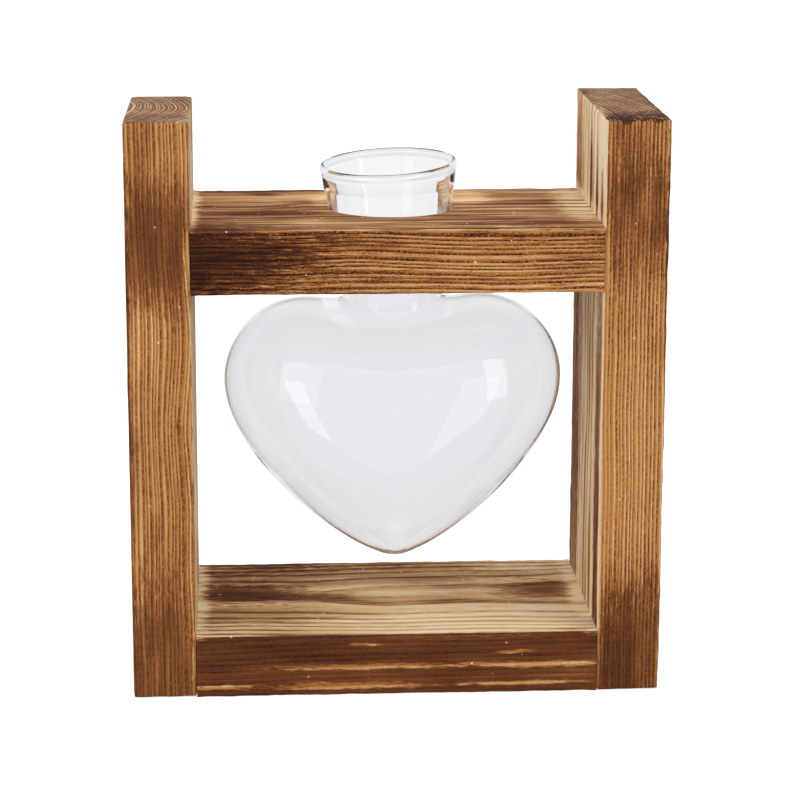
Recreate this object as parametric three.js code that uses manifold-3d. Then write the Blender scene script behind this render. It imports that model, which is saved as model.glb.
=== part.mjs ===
// A heart-shaped glass vase that hangs by its neck in a frame of four torched pine boards.
// Millimetres, +Z up, -Y is the front. The origin is the middle of the footprint, on the table.
import * as THREE from "three";
import { RoundedBoxGeometry } from "three/addons/geometries/RoundedBoxGeometry.js";
import { mergeVertices } from "three/addons/utils/BufferGeometryUtils.js";
import Module from "manifold-3d";

const wasm = await Module();
wasm.setup();

// Boards of the frame
const BOARD_THICKNESS = 18;
const FRAME_DEPTH = 70;
const HORN_HEIGHT = 30; // how far the uprights stand above the top rail
const EDGE_RADIUS = 0.7; // sanded edges of the boards

// Glass vase, with levels measured from the tip of the heart
const HEART_WIDTH = 98.4;
const HEART_DEPTH = 60;
const WIDEST_LEVEL = 53;
const BELLY_LEVEL = 47.5; // where the heart is deepest, front to back
const LOBE_LEVEL = 77.7;
const LOBE_SPACING = 52; // between the tops of the two lobes
const CLEFT_DEPTH = 11; // how far the front shoulder lies below the tops of the lobes
const CLEFT_SHOULDER = 19.5; // radius of the front shoulder
const THROAT_RISE = 2; // narrowest ring of the neck above the tops of the lobes
const THROAT_DIAMETER = 26.4;
const MOUTH_DIAMETER = 39.7;
const GLASS_WALL = 1.8;
const RIM_THICKNESS = 3; // fire-polished bead round the mouth
const RIM_BLEND = 4; // height in which the bead thins to the wall

// How the vase hangs in the frame
const SIDE_GAP = 7.8; // heart to upright
const TIP_GAP = 12.3; // heart to bottom rail
const LOBE_GAP = 8.3; // heart to top rail
const MOUTH_RISE = 13.2; // rim above the top rail
const SEAT_OFFSET = 4; // neck axis behind the middle of the rail
const SEAT_CLEARANCE = 0.3;
const SLOT_CHAMFER = 0.8;

// Fluted dowels that hold the rails to the uprights
const DOWEL_DIAMETER = 8;
const DOWEL_LENGTH = 30;
const DOWEL_IN_UPRIGHT = 11;
const DOWEL_INSET = 15; // dowel axis from the front or back face
const DOWEL_CHAMFER = 1;
const DOWEL_CLEARANCE = 0.3;
const FLUTE_COUNT = 12;
const FLUTE_DEPTH = 0.35;

// Fineness of the meshes
const VASE_SEGMENTS = 48;
const COLLAR_STEPS = 6;
const LOBE_STEPS = 8;
const FLANK_STEPS = 10;
const BEAD_STEPS = 6;
const HOLE_SEGMENTS = 24;
const EDGE_STEPS = 2;
const CUT_MARGIN = 2; // how far a cutter runs past the face that it cuts

// Sizes that follow from the ones above
const INNER_WIDTH = HEART_WIDTH + 2 * SIDE_GAP;
const UPRIGHT_X = (INNER_WIDTH + BOARD_THICKNESS) / 2;
const TIP_HEIGHT = BOARD_THICKNESS + TIP_GAP;
const RAIL_TOP_LEVEL = LOBE_LEVEL + LOBE_GAP + BOARD_THICKNESS;
const TOP_RAIL_Z = TIP_HEIGHT + RAIL_TOP_LEVEL - BOARD_THICKNESS / 2;
const BOTTOM_RAIL_Z = BOARD_THICKNESS / 2;
const FRAME_HEIGHT = TIP_HEIGHT + RAIL_TOP_LEVEL + HORN_HEIGHT;
const THROAT_LEVEL = LOBE_LEVEL + THROAT_RISE;
const THROAT_RADIUS = THROAT_DIAMETER / 2;
const MOUTH_RADIUS = MOUTH_DIAMETER / 2;
const BEAD_RADIUS = RIM_THICKNESS / 2;
const BEAD_LEVEL = RAIL_TOP_LEVEL + MOUTH_RISE - BEAD_RADIUS;
const SLOT_RADIUS = neckRadius(RAIL_TOP_LEVEL - SLOT_CHAMFER) + SEAT_CLEARANCE;
const DOWEL_Y = FRAME_DEPTH / 2 - DOWEL_INSET;
const DOWEL_IN_RAIL = DOWEL_LENGTH - DOWEL_IN_UPRIGHT;

const torchedPine = new THREE.MeshStandardMaterial({ color: "#8a5429", roughness: 0.75, metalness: 0 });
const beech = new THREE.MeshStandardMaterial({ color: "#d8b384", roughness: 0.7, metalness: 0 });
const clearGlass = new THREE.MeshStandardMaterial({
  color: "#eef1f3",
  roughness: 0.05,
  metalness: 0,
  transparent: true,
  opacity: 0.35,
});

// Solids

function toSolid(geometry) {
  const bare = geometry.clone();
  bare.deleteAttribute("normal");
  bare.deleteAttribute("uv");
  const merged = mergeVertices(bare);
  return new wasm.Manifold(
    new wasm.Mesh({
      numProp: 3,
      vertProperties: merged.getAttribute("position").array,
      triVerts: new Uint32Array(merged.index.array),
    }),
  );
}

function toGeometry(solid) {
  const made = solid.getMesh();
  const geometry = new THREE.BufferGeometry();
  geometry.setAttribute("position", new THREE.BufferAttribute(made.vertProperties, 3));
  geometry.setIndex(new THREE.BufferAttribute(made.triVerts, 1));
  geometry.computeVertexNormals();
  return geometry;
}

function cutAway(geometry, cutters) {
  let solid = toSolid(geometry);
  for (const cutter of cutters) {
    solid = solid.subtract(toSolid(cutter));
  }
  return toGeometry(solid);
}

function place(name, geometry, material, x, y, z) {
  const mesh = new THREE.Mesh(geometry, material);
  mesh.name = name;
  mesh.position.set(x, y, z);
  return mesh;
}

// Boards

// A blind hole along X for one dowel, from the joint face into the board on one side of it.
function dowelHole(jointX, depth, direction, y, z) {
  const length = depth + DOWEL_CLEARANCE + CUT_MARGIN;
  const radius = DOWEL_DIAMETER / 2 + DOWEL_CLEARANCE;
  const hole = new THREE.CylinderGeometry(radius, radius, length, HOLE_SEGMENTS);
  hole.rotateZ(Math.PI / 2);
  hole.translate(jointX + direction * (length / 2 - CUT_MARGIN), y, z);
  return hole;
}

// An upright, whose inner face carries the dowels of both rails. side is -1 on the left and 1 on the right.
function upright(name, side) {
  const board = new RoundedBoxGeometry(BOARD_THICKNESS, FRAME_DEPTH, FRAME_HEIGHT, EDGE_STEPS, EDGE_RADIUS);
  const holes = [];
  for (const railZ of [TOP_RAIL_Z, BOTTOM_RAIL_Z]) {
    for (const y of [-DOWEL_Y, DOWEL_Y]) {
      const innerFace = (-side * BOARD_THICKNESS) / 2;
      holes.push(dowelHole(innerFace, DOWEL_IN_UPRIGHT, side, y, railZ - FRAME_HEIGHT / 2));
    }
  }
  return place(name, cutAway(board, holes), torchedPine, side * UPRIGHT_X, 0, FRAME_HEIGHT / 2);
}

// A rail: a board with sanded long edges and square ends, drawn as its section and run along X.
function railBoard() {
  const halfDepth = FRAME_DEPTH / 2;
  const halfThickness = BOARD_THICKNESS / 2;
  const section = new THREE.Shape();
  section.absarc(halfThickness - EDGE_RADIUS, halfDepth - EDGE_RADIUS, EDGE_RADIUS, 0, Math.PI / 2);
  section.absarc(EDGE_RADIUS - halfThickness, halfDepth - EDGE_RADIUS, EDGE_RADIUS, Math.PI / 2, Math.PI);
  section.absarc(EDGE_RADIUS - halfThickness, EDGE_RADIUS - halfDepth, EDGE_RADIUS, Math.PI, 1.5 * Math.PI);
  section.absarc(halfThickness - EDGE_RADIUS, EDGE_RADIUS - halfDepth, EDGE_RADIUS, 1.5 * Math.PI, 2 * Math.PI);
  const board = new THREE.ExtrudeGeometry(section, {
    depth: INNER_WIDTH,
    bevelEnabled: false,
    curveSegments: EDGE_STEPS,
  });
  board.translate(0, 0, -INNER_WIDTH / 2);
  board.rotateY(Math.PI / 2);
  return board;
}

function railHoles() {
  const holes = [];
  for (const end of [-1, 1]) {
    for (const y of [-DOWEL_Y, DOWEL_Y]) {
      holes.push(dowelHole((end * INNER_WIDTH) / 2, DOWEL_IN_RAIL, -end, y, 0));
    }
  }
  return holes;
}

// Plan of the slot: a half round that fits the neck, open to the back of the rail.
function slotPlan() {
  const back = FRAME_DEPTH / 2 + CUT_MARGIN;
  const plan = new THREE.Shape();
  plan.moveTo(SLOT_RADIUS, back);
  plan.lineTo(-SLOT_RADIUS, back);
  plan.absarc(0, SEAT_OFFSET, SLOT_RADIUS, Math.PI, 2 * Math.PI);
  return plan;
}

// The slot's cutters: one straight through, and one at each face that flares out to the chamfer.
function slotCutters() {
  const halfThickness = BOARD_THICKNESS / 2;
  const plan = slotPlan();
  const through = new THREE.ExtrudeGeometry(plan, {
    depth: BOARD_THICKNESS + 2 * CUT_MARGIN,
    bevelEnabled: false,
    curveSegments: HOLE_SEGMENTS,
  });
  through.translate(0, 0, -halfThickness - CUT_MARGIN);
  const flare = {
    depth: CUT_MARGIN,
    bevelThickness: SLOT_CHAMFER,
    bevelSize: SLOT_CHAMFER,
    bevelSegments: 1,
    curveSegments: HOLE_SEGMENTS,
  };
  const upper = new THREE.ExtrudeGeometry(plan, flare);
  upper.translate(0, 0, halfThickness);
  const lower = new THREE.ExtrudeGeometry(plan, flare);
  lower.translate(0, 0, -halfThickness - CUT_MARGIN);
  return [through, upper, lower];
}

function topRail() {
  const cutters = [...railHoles(), ...slotCutters()];
  return place("top_rail", cutAway(railBoard(), cutters), torchedPine, 0, 0, TOP_RAIL_Z);
}

function bottomRail() {
  return place("bottom_rail", cutAway(railBoard(), railHoles()), torchedPine, 0, 0, BOTTOM_RAIL_Z);
}

// Dowels

// A dowel along X: a round of crests and grooves with its two ends chamfered.
function dowelGeometry() {
  const crest = DOWEL_DIAMETER / 2;
  const groove = crest - FLUTE_DEPTH;
  const pitch = (2 * Math.PI) / FLUTE_COUNT;
  const crestHalf = 0.3 * pitch;
  const section = [];
  for (let i = 0; i < FLUTE_COUNT; i++) {
    const middle = i * pitch;
    for (const [radius, angle] of [
      [crest, middle - crestHalf],
      [crest, middle + crestHalf],
      [groove, middle + pitch / 2],
    ]) {
      section.push(new THREE.Vector2(radius * Math.cos(angle), radius * Math.sin(angle)));
    }
  }
  const dowel = new THREE.ExtrudeGeometry(new THREE.Shape(section), {
    depth: DOWEL_LENGTH - 2 * DOWEL_CHAMFER,
    bevelThickness: DOWEL_CHAMFER,
    bevelSize: DOWEL_CHAMFER,
    bevelOffset: -DOWEL_CHAMFER,
    bevelSegments: 1,
  });
  dowel.translate(0, 0, DOWEL_CHAMFER - DOWEL_LENGTH / 2);
  dowel.rotateY(Math.PI / 2);
  return dowel;
}

function dowels() {
  const made = [];
  const middle = INNER_WIDTH / 2 + DOWEL_IN_UPRIGHT - DOWEL_LENGTH / 2;
  for (const [rail, z] of [["top", TOP_RAIL_Z], ["bottom", BOTTOM_RAIL_Z]]) {
    for (const [end, side] of [["left", -1], ["right", 1]]) {
      for (const [row, y] of [["front", -DOWEL_Y], ["back", DOWEL_Y]]) {
        made.push(place(`dowel_${rail}_${end}_${row}`, dowelGeometry(), beech, side * middle, y, z));
      }
    }
  }
  return made;
}

// Glass vase

// Outer radius of the conical neck at a height above the tip.
function neckRadius(level) {
  const share = (level - THROAT_LEVEL) / (BEAD_LEVEL - THROAT_LEVEL);
  return THREE.MathUtils.lerp(THROAT_RADIUS, MOUTH_RADIUS, share);
}

function curve(...points) {
  return new THREE.CubicBezierCurve(...points.map(([radius, level]) => new THREE.Vector2(radius, level)));
}

// The heart's outline seen from the front, as radius and level: throat, over a lobe, down the flank to the tip.
function lobeMeridian() {
  const widest = HEART_WIDTH / 2;
  const lobe = LOBE_SPACING / 2;
  const quarter = 0.5523; // handle length that makes a Bezier curve a quarter ellipse
  const reach = widest - lobe;
  const fall = LOBE_LEVEL - WIDEST_LEVEL;
  return [
    curve(
      [THROAT_RADIUS, THROAT_LEVEL],
      [THROAT_RADIUS, THROAT_LEVEL - 2.5 * THROAT_RISE],
      [THREE.MathUtils.lerp(lobe, THROAT_RADIUS, 0.54), LOBE_LEVEL],
      [lobe, LOBE_LEVEL],
    ),
    curve(
      [lobe, LOBE_LEVEL],
      [lobe + quarter * reach, LOBE_LEVEL],
      [widest, WIDEST_LEVEL + quarter * fall],
      [widest, WIDEST_LEVEL],
    ),
    curve([widest, WIDEST_LEVEL], [widest, 0.59 * WIDEST_LEVEL], [0.25 * widest, 0], [0, 0]),
  ];
}

// The heart's outline seen from the side: throat, down into the cleft, over the chest to the tip.
function chestMeridian() {
  const deepest = HEART_DEPTH / 2;
  const shoulder = LOBE_LEVEL - CLEFT_DEPTH;
  const run = deepest - CLEFT_SHOULDER;
  return [
    curve(
      [THROAT_RADIUS, THROAT_LEVEL],
      [THROAT_RADIUS, THREE.MathUtils.lerp(shoulder, THROAT_LEVEL, 0.4)],
      [THREE.MathUtils.lerp(THROAT_RADIUS, CLEFT_SHOULDER, 0.4), shoulder + 0.25 * (THROAT_LEVEL - shoulder)],
      [CLEFT_SHOULDER, shoulder],
    ),
    curve(
      [CLEFT_SHOULDER, shoulder],
      [CLEFT_SHOULDER + 0.48 * run, shoulder - 0.19 * (shoulder - BELLY_LEVEL)],
      [deepest, THREE.MathUtils.lerp(BELLY_LEVEL, shoulder, 0.5)],
      [deepest, BELLY_LEVEL],
    ),
    curve([deepest, BELLY_LEVEL], [deepest, 0.58 * BELLY_LEVEL], [0.3 * deepest, 0], [0, 0]),
  ];
}

// A point of a meridian moved into the glass by inset, square to the outline.
function insetPoint(piece, t, inset) {
  const point = piece.getPoint(t);
  const along = piece.getTangent(t);
  return { radius: point.x + inset * along.y, level: point.y - inset * along.x };
}

// One ring of the vase: an ellipse that waves up to the lobes at the sides and down to the cleft between.
function ring(lobe, chest) {
  const points = [];
  for (let i = 0; i < VASE_SEGMENTS; i++) {
    const angle = (2 * Math.PI * i) / VASE_SEGMENTS;
    const level = THREE.MathUtils.lerp(chest.level, lobe.level, Math.cos(angle) ** 2);
    points.push([lobe.radius * Math.cos(angle), chest.radius * Math.sin(angle), level]);
  }
  return points;
}

function roundRing(radius, level) {
  return ring({ radius, level }, { radius, level });
}

// Rings of the heart from the throat down, without the tip itself.
function heartRings(inset) {
  const lobeSide = lobeMeridian();
  const chestSide = chestMeridian();
  const rings = [];
  [COLLAR_STEPS, LOBE_STEPS, FLANK_STEPS].forEach((steps, piece) => {
    for (let i = 0; i < steps; i++) {
      const t = i / steps;
      rings.push(ring(insetPoint(lobeSide[piece], t, inset), insetPoint(chestSide[piece], t, inset)));
    }
  });
  return rings;
}

// Rings of the rim and neck: over the bead from outside to inside, then down the inner wall.
function mouthRings() {
  const rings = [];
  for (let i = 0; i <= BEAD_STEPS; i++) {
    const angle = (Math.PI * i) / BEAD_STEPS;
    const radius = MOUTH_RADIUS - BEAD_RADIUS + BEAD_RADIUS * Math.cos(angle);
    rings.push(roundRing(radius, BEAD_LEVEL + BEAD_RADIUS * Math.sin(angle)));
  }
  const blendLevel = BEAD_LEVEL - RIM_BLEND;
  rings.push(roundRing(neckRadius(blendLevel) - GLASS_WALL, blendLevel));
  return rings;
}

// A closed skin over a stack of rings, with a pole at each end.
function skin(firstPole, rings, lastPole) {
  const corners = [firstPole, ...rings.flat(), lastPole];
  const last = corners.length - 1;
  const at = (row, i) => 1 + row * VASE_SEGMENTS + (i % VASE_SEGMENTS);
  const faces = [];
  for (let i = 0; i < VASE_SEGMENTS; i++) {
    faces.push(0, at(0, i + 1), at(0, i));
    for (let row = 0; row + 1 < rings.length; row++) {
      faces.push(at(row, i), at(row, i + 1), at(row + 1, i));
      faces.push(at(row, i + 1), at(row + 1, i + 1), at(row + 1, i));
    }
    faces.push(last, at(rings.length - 1, i), at(rings.length - 1, i + 1));
  }
  const geometry = new THREE.BufferGeometry();
  geometry.setAttribute("position", new THREE.Float32BufferAttribute(corners.flat(), 3));
  geometry.setIndex(faces);
  geometry.computeVertexNormals();
  return geometry;
}

function glassVase() {
  const outside = heartRings(0).reverse();
  const inside = heartRings(GLASS_WALL);
  const rings = [...outside, ...mouthRings(), ...inside];
  const geometry = skin([0, 0, 0], rings, [0, 0, GLASS_WALL]);
  return place("glass_vase", geometry, clearGlass, 0, SEAT_OFFSET, TIP_HEIGHT);
}

const vaseInFrame = new THREE.Group();
vaseInFrame.add(upright("left_upright", -1), upright("right_upright", 1));
vaseInFrame.add(topRail(), bottomRail());
vaseInFrame.add(...dowels());
vaseInFrame.add(glassVase());

export default vaseInFrame;
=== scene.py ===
import math

import bmesh
import bpy
import numpy
from mathutils import Matrix, Vector

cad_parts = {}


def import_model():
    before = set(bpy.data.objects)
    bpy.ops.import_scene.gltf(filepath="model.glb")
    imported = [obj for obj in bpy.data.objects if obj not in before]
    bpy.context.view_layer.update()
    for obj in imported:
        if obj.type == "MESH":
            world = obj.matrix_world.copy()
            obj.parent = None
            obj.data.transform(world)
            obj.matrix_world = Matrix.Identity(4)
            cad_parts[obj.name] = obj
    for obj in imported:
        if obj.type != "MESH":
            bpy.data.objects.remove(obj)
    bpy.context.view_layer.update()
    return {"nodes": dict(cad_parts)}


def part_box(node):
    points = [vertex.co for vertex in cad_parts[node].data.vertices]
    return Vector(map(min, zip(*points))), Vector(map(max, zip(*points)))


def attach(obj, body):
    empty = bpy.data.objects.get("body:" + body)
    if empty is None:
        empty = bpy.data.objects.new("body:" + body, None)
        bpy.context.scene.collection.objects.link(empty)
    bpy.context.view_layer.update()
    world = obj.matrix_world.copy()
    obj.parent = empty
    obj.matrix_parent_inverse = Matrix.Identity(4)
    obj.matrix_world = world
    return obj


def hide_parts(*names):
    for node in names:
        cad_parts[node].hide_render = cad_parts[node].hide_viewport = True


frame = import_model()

MM = 0.001

# Camera, fitted to the corners of the boards in the photograph
CAMERA_PLACE = Vector((-43.9, -782.3, 268.4)) * MM
CAMERA_YAW = math.radians(3.40)
CAMERA_PITCH = math.radians(13.67)
CAMERA_ROLL = math.radians(0.15)
CAMERA_LENS = 124.65
CAMERA_SENSOR = 36
CAMERA_NEAR = 10 * MM

# How near two points are to count as one, when welding and when looking for a place
WELD = 0.001 * MM
CLOSE = 0.01 * MM

# Boards
EDGE_RADIUS = 0.6 * MM
EDGE_SEGMENTS = 3
SAWN_ANGLE = math.radians(40)  # edges sharper than this are eased
SMOOTH_ANGLE = math.radians(35)  # edges flatter than this are shaded smooth
GRID_STEP = 2.0 * MM
UNEVEN_DEPTH = 0.1 * MM
UNEVEN_SIZE = 22 * MM
WEAR_DEPTH = 0.3 * MM
WEAR_SIZE = 4 * MM
WEAR_REACH = 1.2 * EDGE_RADIUS  # how far from an edge the wear goes
WEAR_SEED = 3  # sets the wear of a board's edges apart from that of its faces
RUB_DETAIL = 2
RUB_CONTRAST = 1.6
RUB_SHIFT = (1, 0.7, 1.3)  # from one seed's pattern to the next, in pattern sizes
JOINT_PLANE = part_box("top_rail")[1].x  # where the rails end against the uprights
SAW_SLOPE = 2.0 * MM  # the left upright's sawn top falls this much to the back
HOLE_CLEARANCE = 0.15 * MM
HOLE_SEGMENTS = 32
SLOT_SEGMENTS = 96
SLOT_END = 2 * MM  # the slot's width is read from the CAD rail this near its back
SLOT_OVERRUN = 5 * MM  # how far the slot's cutter runs out past the back

# Vase
HEART_LEAN = math.radians(0.7)
MOUTH_LEAN = math.radians(2.2)
MOUTH_TIP = math.radians(3.1)
BEND_LEVELS = (-16, -10, -4, 2, 6)  # where the neck bends, in millimetres from the top rail's top
TIP_BENDS = 2  # the highest bends, which also tip the mouth
ABOVE_BEND = 0.05 * MM  # what leans begins this far above a bend
ABOVE_TIP = 0.2 * MM  # and what tips begins this far above it
HEART_MIDDLE = 0.4  # height of the heart's middle as a share of the vase's
WALL_GAIN = 1.2 * MM  # how much thinner the glass is than the CAD wall
RIM_SHARE = 0.65  # how thick the rim is beside the CAD rim
RIM_HEIGHT = 2.4 * MM
RIM_GROOVE = 0.22 * MM  # how far the neck draws in under the rim
RIM_CUTS = (1, 1.5, 3)  # rings cut round the neck, in rim heights below the mouth
ABOVE_CUT = 0.1 * MM  # the bead begins this far above the first ring
NECK_WALL = 0.9 * MM  # under the rim, growing evenly to the wall at the neck's seat
SEAT_WALL = 1.8 * MM
NECK_HEIGHT = 14 * MM
ROUNDING_LEVELS = 2
ROUNDING_LOSS = 0.3 * MM  # what smoothing takes off the outside, given back beforehand
TIP_ZONE = 5 * MM
TIP_HOLE = 1.2 * MM  # the hole round a tip is no deeper than this
BEAD_ZONE = 3 * MM
SQUARE_FACE_ANGLE = math.radians(60)
SQUARE_SHAPE_ANGLE = math.radians(150)


def only(piece):
    """Makes the piece the one selected and active object."""
    bpy.ops.object.select_all(action="DESELECT")
    piece.select_set(True)
    bpy.context.view_layer.objects.active = piece


def edit(piece):
    """Opens the piece in edit mode."""
    only(piece)
    bpy.ops.object.mode_set(mode="EDIT")


def close():
    """Leaves edit mode."""
    bpy.ops.object.mode_set(mode="OBJECT")


def select(piece, kind, test):
    """In edit mode, selects the vertices, edges or faces that pass the test and nothing else."""
    bpy.ops.mesh.select_mode(type=kind)
    bpy.ops.mesh.select_all(action="DESELECT")
    mesh = bmesh.from_edit_mesh(piece.data)
    parts = {"VERT": mesh.verts, "EDGE": mesh.edges, "FACE": mesh.faces}[kind]
    for part in parts:
        if test(part):
            part.select_set(True)
    bmesh.update_edit_mesh(piece.data)


def apply(piece, modifier):
    """Makes a modifier part of the mesh."""
    only(piece)
    bpy.ops.object.modifier_apply(modifier=modifier.name)


def corners(piece):
    """Lowest and highest corner of the piece."""
    return Vector(piece.bound_box[0]), Vector(piece.bound_box[6])


# Boards of the frame


def plank(name, node):
    """A sawn board that fills the box of its CAD node."""
    low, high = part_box(node)
    bpy.ops.object.select_all(action="DESELECT")
    bpy.ops.mesh.primitive_cube_add(size=1, location=(low + high) / 2)
    piece = bpy.context.object
    piece.name = name
    piece.data.name = name
    piece.scale = high - low
    bpy.ops.object.transform_apply(location=True, rotation=True, scale=True)
    return piece


def cut(piece, cutter):
    """Takes the cutter's shape out of the piece and deletes the cutter."""
    saw = piece.modifiers.new("cut", "BOOLEAN")
    saw.object = cutter
    saw.operation = "DIFFERENCE"
    saw.solver = "EXACT"
    apply(piece, saw)
    bpy.data.objects.remove(cutter)


def in_joint(piece, point):
    """True on the sawn end of a rail, which is glued flat against its upright."""
    return "rail" in piece.name and abs(point.x) > JOINT_PLANE - CLOSE


def ease_edges(piece):
    """Rounds the sawn edges, as sanding does, but for the ends that are glued in a joint."""
    edit(piece)

    def sawn(edge):
        ends = [vertex.co for vertex in edge.verts]
        glued = in_joint(piece, ends[0]) and in_joint(piece, ends[1])
        return not glued and edge.calc_face_angle() > SAWN_ANGLE

    select(piece, "EDGE", sawn)
    bpy.ops.mesh.bevel(offset=EDGE_RADIUS, segments=EDGE_SEGMENTS, affect="EDGES")
    close()


def drill_dowel_holes(piece, dowels):
    """Blind holes round the dowels of a board."""
    for dowel in dowels:
        low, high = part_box(dowel)
        bpy.ops.object.select_all(action="DESELECT")
        bpy.ops.mesh.primitive_cylinder_add(
            vertices=HOLE_SEGMENTS,
            radius=(high.z - low.z) / 2 + HOLE_CLEARANCE,
            depth=high.x - low.x + 2 * HOLE_CLEARANCE,
            location=(low + high) / 2,
            rotation=(0, math.radians(90), 0),
        )
        cut(piece, bpy.context.object)


def slice_up(piece):
    """Cuts the faces into a grid, so that wear has vertices to move."""
    low, high = corners(piece)
    edit(piece)
    for axis in range(3):
        normal = Vector((0, 0, 0))
        normal[axis] = 1
        count = round((high[axis] - low[axis]) / GRID_STEP)
        for step in range(1, count):
            level = low.lerp(high, step / count)
            bpy.ops.mesh.select_all(action="SELECT")
            bpy.ops.mesh.bisect(plane_co=level, plane_no=normal)
    close()


def rub(piece, group, size, depth, seed):
    """Takes an uneven depth off the surface, about the given one at most."""
    clouds = bpy.data.textures.new(piece.name + group, "CLOUDS")
    clouds.noise_scale = size
    clouds.noise_depth = RUB_DETAIL
    clouds.contrast = RUB_CONTRAST
    rubbed = piece.modifiers.new("rub", "DISPLACE")
    rubbed.texture = clouds
    rubbed.texture_coords = "OBJECT"
    shift = bpy.data.objects.new("shift", None)
    bpy.context.scene.collection.objects.link(shift)
    shift.location = Vector([seed * step for step in RUB_SHIFT]) * size
    bpy.context.view_layer.update()
    rubbed.texture_coords_object = shift
    rubbed.mid_level = 1
    rubbed.strength = depth
    rubbed.vertex_group = group
    apply(piece, rubbed)
    bpy.data.objects.remove(shift)
    bpy.data.textures.remove(clouds)


def wear(piece, seed):
    """Slightly uneven faces, and edges that are rubbed and knocked."""
    low, high = corners(piece)

    def on_edge(vertex):
        from_low = vertex.co - low
        from_high = high - vertex.co
        return sum(min(gaps) < WEAR_REACH for gaps in zip(from_low, from_high)) > 1

    free = [vertex for vertex in piece.data.vertices if not in_joint(piece, vertex.co)]
    faces = [vertex.index for vertex in free]
    edges = [vertex.index for vertex in free if on_edge(vertex)]
    piece.vertex_groups.new(name="faces").add(faces, 1, "ADD")
    piece.vertex_groups.new(name="edges").add(edges, 1, "ADD")
    rub(piece, "faces", UNEVEN_SIZE, UNEVEN_DEPTH, seed)
    rub(piece, "edges", WEAR_SIZE, WEAR_DEPTH, seed + WEAR_SEED)
    piece.vertex_groups.clear()


def smooth(piece):
    """Smooth shading with flat faces kept flat beside the rounded edges."""
    only(piece)
    bpy.ops.object.shade_smooth_by_angle(angle=SMOOTH_ANGLE)
    weighted = piece.modifiers.new("weighted", "WEIGHTED_NORMAL")
    weighted.keep_sharp = True
    apply(piece, weighted)


def finish_board(piece, node, side, seed):
    """What every board goes through once it is sawn. Its dowels have its side in their names."""
    ease_edges(piece)
    dowels = [name for name in frame["nodes"] if name.startswith("dowel") and side in name]
    drill_dowel_holes(piece, dowels)
    slice_up(piece)
    wear(piece, seed)
    smooth(piece)
    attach(piece, "frame")
    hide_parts(node)
    return piece


def left_board():
    """The left upright, its top sawn a little out of square."""
    piece = plank("left_upright_board", "left_upright")
    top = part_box("left_upright")[1].z
    edit(piece)
    select(piece, "VERT", lambda vertex: vertex.co.z > top - CLOSE and vertex.co.y > 0)
    bpy.ops.transform.translate(value=(0, 0, -SAW_SLOPE))
    close()
    return finish_board(piece, "left_upright", side="left", seed=1)


def right_board():
    """The right upright."""
    piece = plank("right_upright_board", "right_upright")
    return finish_board(piece, "right_upright", side="right", seed=2)


def slot_cutter():
    """A round-ended bar that runs out to the back, as wide as the slot of the CAD rail and taller."""
    low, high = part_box("top_rail")
    seat = vase_axis()
    rail = frame["nodes"]["top_rail"].data.vertices
    half = min(abs(vertex.co.x) for vertex in rail if vertex.co.y > high.y - SLOT_END)
    bpy.ops.object.select_all(action="DESELECT")
    bpy.ops.mesh.primitive_cylinder_add(
        vertices=SLOT_SEGMENTS,
        radius=half,
        depth=2 * (high.z - low.z),
        location=(0, seat, (low.z + high.z) / 2),
    )
    cutter = bpy.context.object
    bpy.ops.object.transform_apply(location=True, rotation=True, scale=True)
    edit(cutter)
    bpy.ops.mesh.select_all(action="SELECT")
    bpy.ops.mesh.bisect(
        plane_co=(0, seat, 0),
        plane_no=(0, 1, 0),
        use_fill=True,
        clear_outer=True,
    )
    run = high.y - seat + SLOT_OVERRUN
    bpy.ops.mesh.extrude_region_move(TRANSFORM_OT_translate={"value": (0, run, 0)})
    close()
    return cutter


def top_board():
    """The top rail, with the slot that the neck hangs in."""
    piece = plank("top_rail_board", "top_rail")
    cut(piece, slot_cutter())
    return finish_board(piece, "top_rail", side="top", seed=3)


def bottom_board():
    """The bottom rail."""
    piece = plank("bottom_rail_board", "bottom_rail")
    return finish_board(piece, "bottom_rail", side="bottom", seed=4)


# Glass vase


def vase_axis():
    """Depth at which the vase's axis stands."""
    low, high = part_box("glass_vase")
    return (low.y + high.y) / 2


def radius(vertex, axis):
    """How far the vertex is from the vase's axis."""
    return math.hypot(vertex.co.x, vertex.co.y - axis)


def set_radius(vertex, axis, wanted):
    """Moves the vertex straight out or in to that distance from the vase's axis."""
    wider = wanted / radius(vertex, axis)
    vertex.co.x *= wider
    vertex.co.y = axis + (vertex.co.y - axis) * wider


def cut_rings(levels):
    """In edit mode, cuts all faces across at those heights."""
    for level in levels:
        bpy.ops.mesh.select_all(action="SELECT")
        bpy.ops.mesh.bisect(plane_co=(0, 0, level), plane_no=(0, 0, 1))


def copied_vase():
    """A copy of the CAD vase, welded, with square faces and no poles at its tips."""
    node = frame["nodes"]["glass_vase"]
    vase = node.copy()
    vase.data = node.data.copy()
    vase.name = "blown_vase"
    vase.data.name = "blown_vase"
    # The marks of a CAD node don't belong on a copy
    for key in list(vase.keys()):
        del vase[key]
    vase.parent = None
    bpy.context.scene.collection.objects.link(vase)
    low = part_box("glass_vase")[0]
    axis = vase_axis()

    def at_tip(vertex):
        return radius(vertex, axis) < CLOSE and vertex.co.z < low.z + TIP_ZONE

    edit(vase)
    bpy.ops.mesh.select_all(action="SELECT")
    bpy.ops.mesh.remove_doubles(threshold=WELD)
    select(vase, "VERT", at_tip)
    tips = [vertex.co.z for vertex in bmesh.from_edit_mesh(vase.data).verts if vertex.select]
    bpy.ops.mesh.delete(type="VERT")
    bpy.ops.mesh.select_all(action="SELECT")
    bpy.ops.mesh.tris_convert_to_quads(
        face_threshold=SQUARE_FACE_ANGLE,
        shape_threshold=SQUARE_SHAPE_ANGLE,
    )
    for tip in sorted(tips):
        close_tip(vase, tip, axis)
    close()
    return vase


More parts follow.
